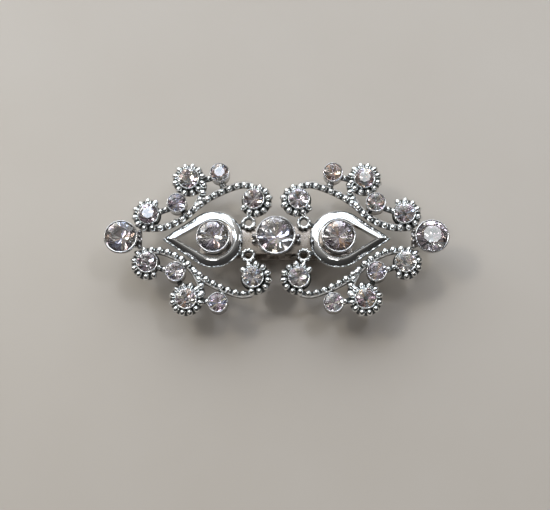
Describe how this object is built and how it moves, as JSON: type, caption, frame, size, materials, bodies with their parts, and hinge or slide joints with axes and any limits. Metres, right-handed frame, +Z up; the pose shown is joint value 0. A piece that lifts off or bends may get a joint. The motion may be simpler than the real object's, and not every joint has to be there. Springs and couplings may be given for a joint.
{
  "type": "hair clip",
  "caption": "Openwork hair clip: beaded vines, teardrop bands and set stones on a short sprung clip with one hinged, toothed jaw.",
  "frame": {"origin": "on the surface that the clip lies on, under the middle of the ornament", "axes": "+X along the ornament towards the clip's lever end, +Y across it, +Z up out of the stones"},
  "size_m": [0.0692, 0.0318, 0.0125],
  "materials": {
    "bright_plate": "mirror-polished bright silver-tone plate",
    "beaded_plate": "silver-tone plate over beading, darker in the gaps",
    "cup_plate": "silver-tone plate on turned settings",
    "crystal": "clear faceted crystal with a silver foil back",
    "clip_steel": "nickel-plated spring-clip steel, satin",
    "pin_steel": "bright drawn steel with peened heads",
    "spring_steel": "drawn spring wire, satin"
  },
  "bodies": {
    "ornament": {"upper_arm": "clip_steel", "hinge_pin": "pin_steel", "spring": "spring_steel", "centre_cup": "cup_plate", "centre_stone": "crystal", "tear_frame_left": "bright_plate", "tear_frame_right": "bright_plate", "tear_cup_left": "cup_plate", "tear_cup_right": "cup_plate", "tear_stone_left": "crystal", "tear_stone_right": "crystal", "end_cup_left": "cup_plate", "end_cup_right": "cup_plate", "end_stone_left": "crystal", "end_stone_right": "crystal", "spray_upper_left": "beaded_plate", "spray_upper_right": "beaded_plate", "spray_lower_left": "beaded_plate", "spray_lower_right": "beaded_plate", "scroll_stone_upper_left": "crystal", "scroll_stone_upper_right": "crystal", "scroll_stone_lower_left": "crystal", "scroll_stone_lower_right": "crystal", "crown_stone_upper_left": "crystal", "crown_stone_upper_right": "crystal", "crown_stone_lower_left": "crystal", "crown_stone_lower_right": "crystal", "hook_stone_upper_left": "crystal", "hook_stone_upper_right": "crystal", "hook_stone_lower_left": "crystal", "hook_stone_lower_right": "crystal", "leaf_cup_upper_left": "cup_plate", "leaf_cup_upper_right": "cup_plate", "leaf_cup_lower_left": "cup_plate", "leaf_cup_lower_right": "cup_plate", "leaf_stone_upper_left": "crystal", "leaf_stone_upper_right": "crystal", "leaf_stone_lower_left": "crystal", "leaf_stone_lower_right": "crystal", "bud_cup_upper_left": "cup_plate", "bud_cup_upper_right": "cup_plate", "bud_cup_lower_left": "cup_plate", "bud_cup_lower_right": "cup_plate", "bud_stone_upper_left": "crystal", "bud_stone_upper_right": "crystal", "bud_stone_lower_left": "crystal", "bud_stone_lower_right": "crystal"},
    "jaw": {"lower_jaw": "clip_steel"}
  },
  "joints": [
    {"name": "jaw_hinge", "type": "hinge", "parent": "ornament", "child": "jaw", "pos_m": [0.004, 0, 0.0036], "axis": [0, -1, 0], "range_deg": [0, 26], "stiffness_Nm_per_rad": 0.1, "springref_deg": -28.65, "deforming": ["spring"]}
  ]
}
